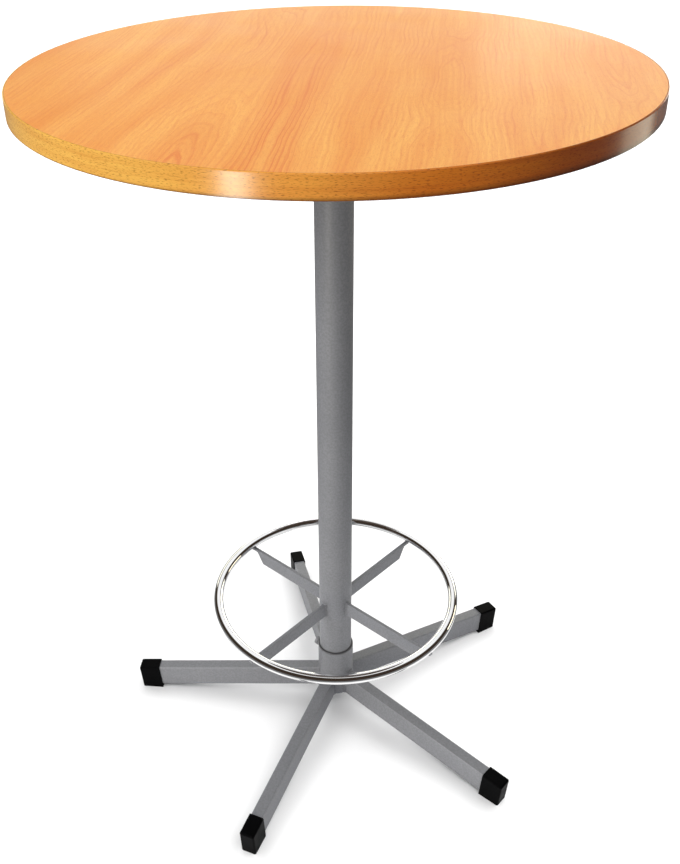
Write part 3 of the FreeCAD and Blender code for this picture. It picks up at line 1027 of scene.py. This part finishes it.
def cross_screw(head_radius, head_height, shank_radius, length, pitch):
    """A screw that points up, with its seat at height 0 and its head below."""
    mesh = bmesh.new()
    head = [ring_at(mesh, -drop * head_height, share * head_radius)
            for share, drop in reversed(HEAD_PROFILE)]
    shank = [ring_at(mesh, 0.0, shank_radius * THREAD_CORE)]
    shank += thread_rings(mesh, pitch / 2, length, shank_radius, pitch)
    skin(mesh, head + shank)
    mesh.faces.new(shank[-1])
    rim = cross_outline(mesh, head_radius, -head_height)
    foot = cross_outline(mesh, head_radius * CROSS_TAPER, -head_height * (1 - CROSS_DEPTH))
    face_edges = closed_edges(mesh, head[0]) + closed_edges(mesh, rim)
    bmesh.ops.triangle_fill(mesh, use_beauty=True, edges=face_edges)
    skin(mesh, [rim, foot])
    mesh.faces.new(foot)
    return mesh


say_made(cross_screw)

# %% Put the screws in
SCREWS_APART = 0.04
WOOD_PITCH = 0.0022
METAL_PITCH = 0.0012


def put_screws(name, node_name, pitch):
    """Screws in place of the frame's own, measured on its solids."""
    mesh = bmesh.new()
    for places in solids_of(node_name, SCREWS_APART):
        bottom, seat, tip = levels_of(place.z for place in places)
        axis = Vector((middle_of([p.x for p in places]), middle_of([p.y for p in places])))
        reach = {height: max((p.xy - axis).length for p in places if abs(p.z - height) < NEARLY)
                 for height in (bottom, tip)}
        screw = cross_screw(reach[bottom], seat - bottom, reach[tip], tip - seat, pitch)
        add_to(mesh, screw, Matrix.Translation((axis.x, axis.y, seat)))
    piece = finished(name, mesh, "zinc_steel")
    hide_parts(node_name)
    print(name, "faces:", len(piece.data.polygons))


put_screws("wood_screws", "spider_screws", WOOD_PITCH)
put_screws("tongue_screws", "ring_screws", METAL_PITCH)

# %% A hexagon bolt
HEX_STEPS = 48
HEX_FACE = 0.94
HEX_CHAMFER = math.tan(math.radians(30))
BOLT_PITCH = 0.00125


def hexagon(flats):
    """The reach of a hexagon as a function of the turn, with a corner at turn 0."""
    return lambda turn: flats / 2 / math.cos(turn % (math.pi / 3) - math.pi / 6)


def hexagon_bolt(start, seat, end, flats, shank_radius):
    """A bolt along +Z whose head has its outer corners turned off."""
    mesh = bmesh.new()
    side = hexagon(flats)
    face = HEX_FACE * flats / 2
    head = [
        ring_at(mesh, end, face, HEX_STEPS),
        ring_at(mesh, lambda turn: end - (side(turn) - face) * HEX_CHAMFER, side, HEX_STEPS),
        ring_at(mesh, seat, side, HEX_STEPS),
    ]
    shank = thread_rings(mesh, seat, start, shank_radius, BOLT_PITCH, HEX_STEPS)
    skin(mesh, head + shank)
    mesh.faces.new(head[0])
    mesh.faces.new(shank[-1])
    return mesh


print("pitch of the bolts:", BOLT_PITCH)

# %% Put the bolts in the collar
BOLTS_APART = 0.03
bolts = bmesh.new()
for places in solids_of("clamp_bolts", BOLTS_APART):
    out = Vector((sum(p.x for p in places), sum(p.y for p in places), 0.0)).normalized()
    aside = Vector((-out.y, out.x, 0.0))
    start, seat, end = levels_of(p.dot(out) for p in places)
    heights = [p.z for p in places]
    shank_radius = max(p.dot(aside) for p in places if abs(p.dot(out) - start) < NEARLY)
    bolt = hexagon_bolt(start, seat, end, max(heights) - min(heights), shank_radius)
    turn = Matrix((aside, UP, out)).transposed().to_4x4()
    add_to(bolts, bolt, Matrix.Translation(UP * middle_of(heights)) @ turn)
bolt_piece = finished("painted_clamp_bolts", bolts, "grey_paint")
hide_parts("clamp_bolts")
print("clamp bolts, faces:", len(bolt_piece.data.polygons))

# %% [markdown]
# Floor
#
# The table stands on a white sheet in a darker studio, and the picture shows nothing but white around it.
# A white floor without end would throw so much light up that the shaded side of the edge band would
# never get dark, and the chrome would have nothing dark to show. So the floor is white wherever the
# camera looks, while for the light that bounces about in the room only a round sheet near the table is
# white, and for mirrored light a smaller one. From below, one looks through the floor at the underside
# of the table.

# %% Lay the floor
FLOOR_RADIUS = 40.0
FLOOR_CORNERS = 96
floor_mesh = bmesh.new()
bmesh.ops.create_circle(floor_mesh, cap_ends=True, segments=FLOOR_CORNERS, radius=FLOOR_RADIUS)
floor = bpy.data.objects.new("floor", bpy.data.meshes.new("floor"))
floor_mesh.to_mesh(floor.data)
floor_mesh.free()
scene.collection.objects.link(floor)
print("floor radius:", FLOOR_RADIUS)

# %% The white sheet
SHEET_WHITE = 0.90
STUDIO_DARK = 0.10
SHEET_EDGE = (1.3, 2.0)
SHEET_EDGE_MIRRORED = (0.38, 0.70)
FLOOR_ROUGHNESS = 0.8
FLOOR_GLOSS = 0.1
studio_floor, tree, shader, place = new_material("studio_floor")
away = length_of(tree, place)
path = put(tree, "LightPath").outputs
sheet = spread(tree, away, *SHEET_EDGE, SHEET_WHITE, STUDIO_DARK)
mirrored = spread(tree, away, *SHEET_EDGE_MIRRORED, SHEET_WHITE, STUDIO_DARK)
bounced = put(tree, "Mix", {0: path["Is Glossy Ray"], 2: sheet, 3: mirrored}).outputs[0]
white = maths(tree, "MAXIMUM", bounced, times(tree, path["Is Camera Ray"], SHEET_WHITE))
feed(tree, shader, Base_Color=together(tree, white, white, white), Roughness=FLOOR_ROUGHNESS,
     Specular_IOR_Level=FLOOR_GLOSS)
from_below = put(tree, "NewGeometry").outputs["Backfacing"]
clear = put(tree, "BsdfTransparent").outputs[0]
through = put(tree, "MixShader", {0: from_below, 1: shader.outputs[0], 2: clear})
tree.links.new(through.outputs[0], tree.get_output_node("ALL").inputs["Surface"])
floor.data.materials.append(studio_floor)
print("floor nodes:", len(tree.nodes))

# %% [markdown]
# Light
#
# A soft ceiling lights the whole table. Chrome shows the room itself, so for mirrored light the walls are
# a dark brown and the ceiling's edge comes lower towards the back: that puts dark and white bands on the
# ring. A softbox high at the left lights the left of the column, one above lights mostly the top, and a
# low, warm, upright strip at the front left gives the bright patch on the edge band. The two on the left
# are the strongest and leave the ring out, because they would put hard white glints on it.
# Dim cream panels stand behind the table, brighter towards the right: the laminate mirrors them softly,
# because one looks along it at a low angle. Each stands 5 cm nearer than the last, because lights in one
# plane hide each other from a mirrored ray. An amber panel at the right is mirrored in the far end of the
# band. None of these boxes lights the floor: a wide sun of its own does, with one soft shadow.

# %% Sky
SKY_HORIZON = 0.05
SKY_TOP = 1.05
SKY_EDGE = (0.50, 0.80)
CEILING_EDGE_MIRRORED = (0.74, 0.83)
LOWER_AT_BACK = 0.32
WALL_BROWN = colour(0.045, 0.032, 0.024)
CEILING = colour(SKY_TOP, SKY_TOP, SKY_TOP)
world = bpy.data.worlds.new("studio_sky")
scene.world = world
world.use_nodes = True
tree = world.node_tree
tree.nodes.clear()
sides = sides_of(tree, put(tree, "TexCoord").outputs["Generated"])
path = put(tree, "LightPath").outputs
glow = spread(tree, sides[2], *SKY_EDGE, SKY_HORIZON, SKY_TOP)
backdrop = maths(tree, "MAXIMUM", glow, path["Is Camera Ray"])
ceiling_height = maths(tree, "MULTIPLY_ADD", sides[1], LOWER_AT_BACK, sides[2])
mirrored = mixed(tree, spread(tree, ceiling_height, *CEILING_EDGE_MIRRORED), WALL_BROWN, CEILING)
shown = mixed(tree, path["Is Glossy Ray"], together(tree, backdrop, backdrop, backdrop), mirrored)
sky = put(tree, "Background", {"Color": shown})
put(tree, "OutputWorld", {"Surface": sky.outputs[0]})
print("sky nodes:", len(tree.nodes))


# %% What each light reaches
def reached(name, pieces, state):
    """A light's list of pieces: it lights only these, or all but these."""
    listed = bpy.data.collections.new(name)
    for piece in pieces:
        listed.objects.link(piece)
    for entry in listed.collection_objects:
        entry.light_linking.link_state = state
    return listed


only_the_floor = reached("only_the_floor", [floor], "INCLUDE")
not_the_floor = reached("not_the_floor", [floor], "EXCLUDE")
not_the_ring = reached("not_the_ring", [floor, chromed_ring], "EXCLUDE")
print("lists:", [listed.name for listed in (only_the_floor, not_the_floor, not_the_ring)])

# %% Sun on the floor
FLOOR_SUN_STRENGTH = 3.5
FLOOR_SUN_WIDTH = math.radians(105)
FLOOR_SUN_AHEAD = Vector((-0.18, -0.12, -1.0))


def set_up(name, light, ahead, reaches):
    """Put a light in the scene, turned to shine straight ahead."""
    lamp = bpy.data.objects.new(name, light)
    lamp.rotation_euler = ahead.to_track_quat("-Z", "Y").to_euler()
    lamp.light_linking.receiver_collection = reaches
    scene.collection.objects.link(lamp)
    return lamp


sun = bpy.data.lights.new("floor_sun", "SUN")
sun.energy = FLOOR_SUN_STRENGTH
sun.angle = FLOOR_SUN_WIDTH
set_up("floor_sun", sun, FLOOR_SUN_AHEAD, only_the_floor)
print("width of the sun in degrees:", round(math.degrees(FLOOR_SUN_WIDTH)))

# %% Softboxes
WHITE = (1.0, 1.0, 1.0)
WARM = (1.0, 0.93, 0.79)
AMBER = (1.0, 0.90, 0.68)
CREAM = (1.0, 0.98, 0.85)


def softbox(name, place, target, size, glow, tint=WHITE, reaches=not_the_floor):
    """A rectangular light of even glow at a place, turned towards a target."""
    width, height = size
    light = bpy.data.lights.new(name, "AREA")
    light.shape = "RECTANGLE"
    light.size = width
    light.size_y = height
    light.energy = glow * math.pi * width * height
    light.color = tint
    lamp = set_up(name, light, Vector(target) - Vector(place), reaches)
    lamp.location = place


softbox("high_light", (-2.1, -1.3, 2.2), (0.0, 0.0, 0.8), size=(1.2, 1.2), glow=11.2, reaches=not_the_ring)
softbox("top_light", (0.25, 0.40, 2.6), (0.1, 0.1, 1.1), size=(1.0, 1.0), glow=3.2)
softbox("strip_light", (-1.31, -2.31, 0.42), (0.0, 0.0, 0.55), size=(0.40, 0.8), glow=20.0, tint=WARM,
        reaches=not_the_ring)
softbox("wide_panel", (0.0, 3.10, 1.05), (0.0, 0.0, 1.05), size=(5.2, 1.1), glow=1.85, tint=CREAM)
softbox("middle_panel", (0.70, 3.05, 1.05), (0.70, 0.0, 1.05), size=(3.6, 1.1), glow=1.0, tint=CREAM)
softbox("right_panel", (1.90, 3.0, 1.13), (1.90, 0.0, 1.1), size=(2.6, 1.26), glow=1.85, tint=CREAM)
softbox("side_panel", (2.49, 1.07, 0.42), (0.33, -0.2, 0.9), size=(1.0, 0.8), glow=2.15, tint=AMBER)
scene.view_settings.view_transform = "Standard"
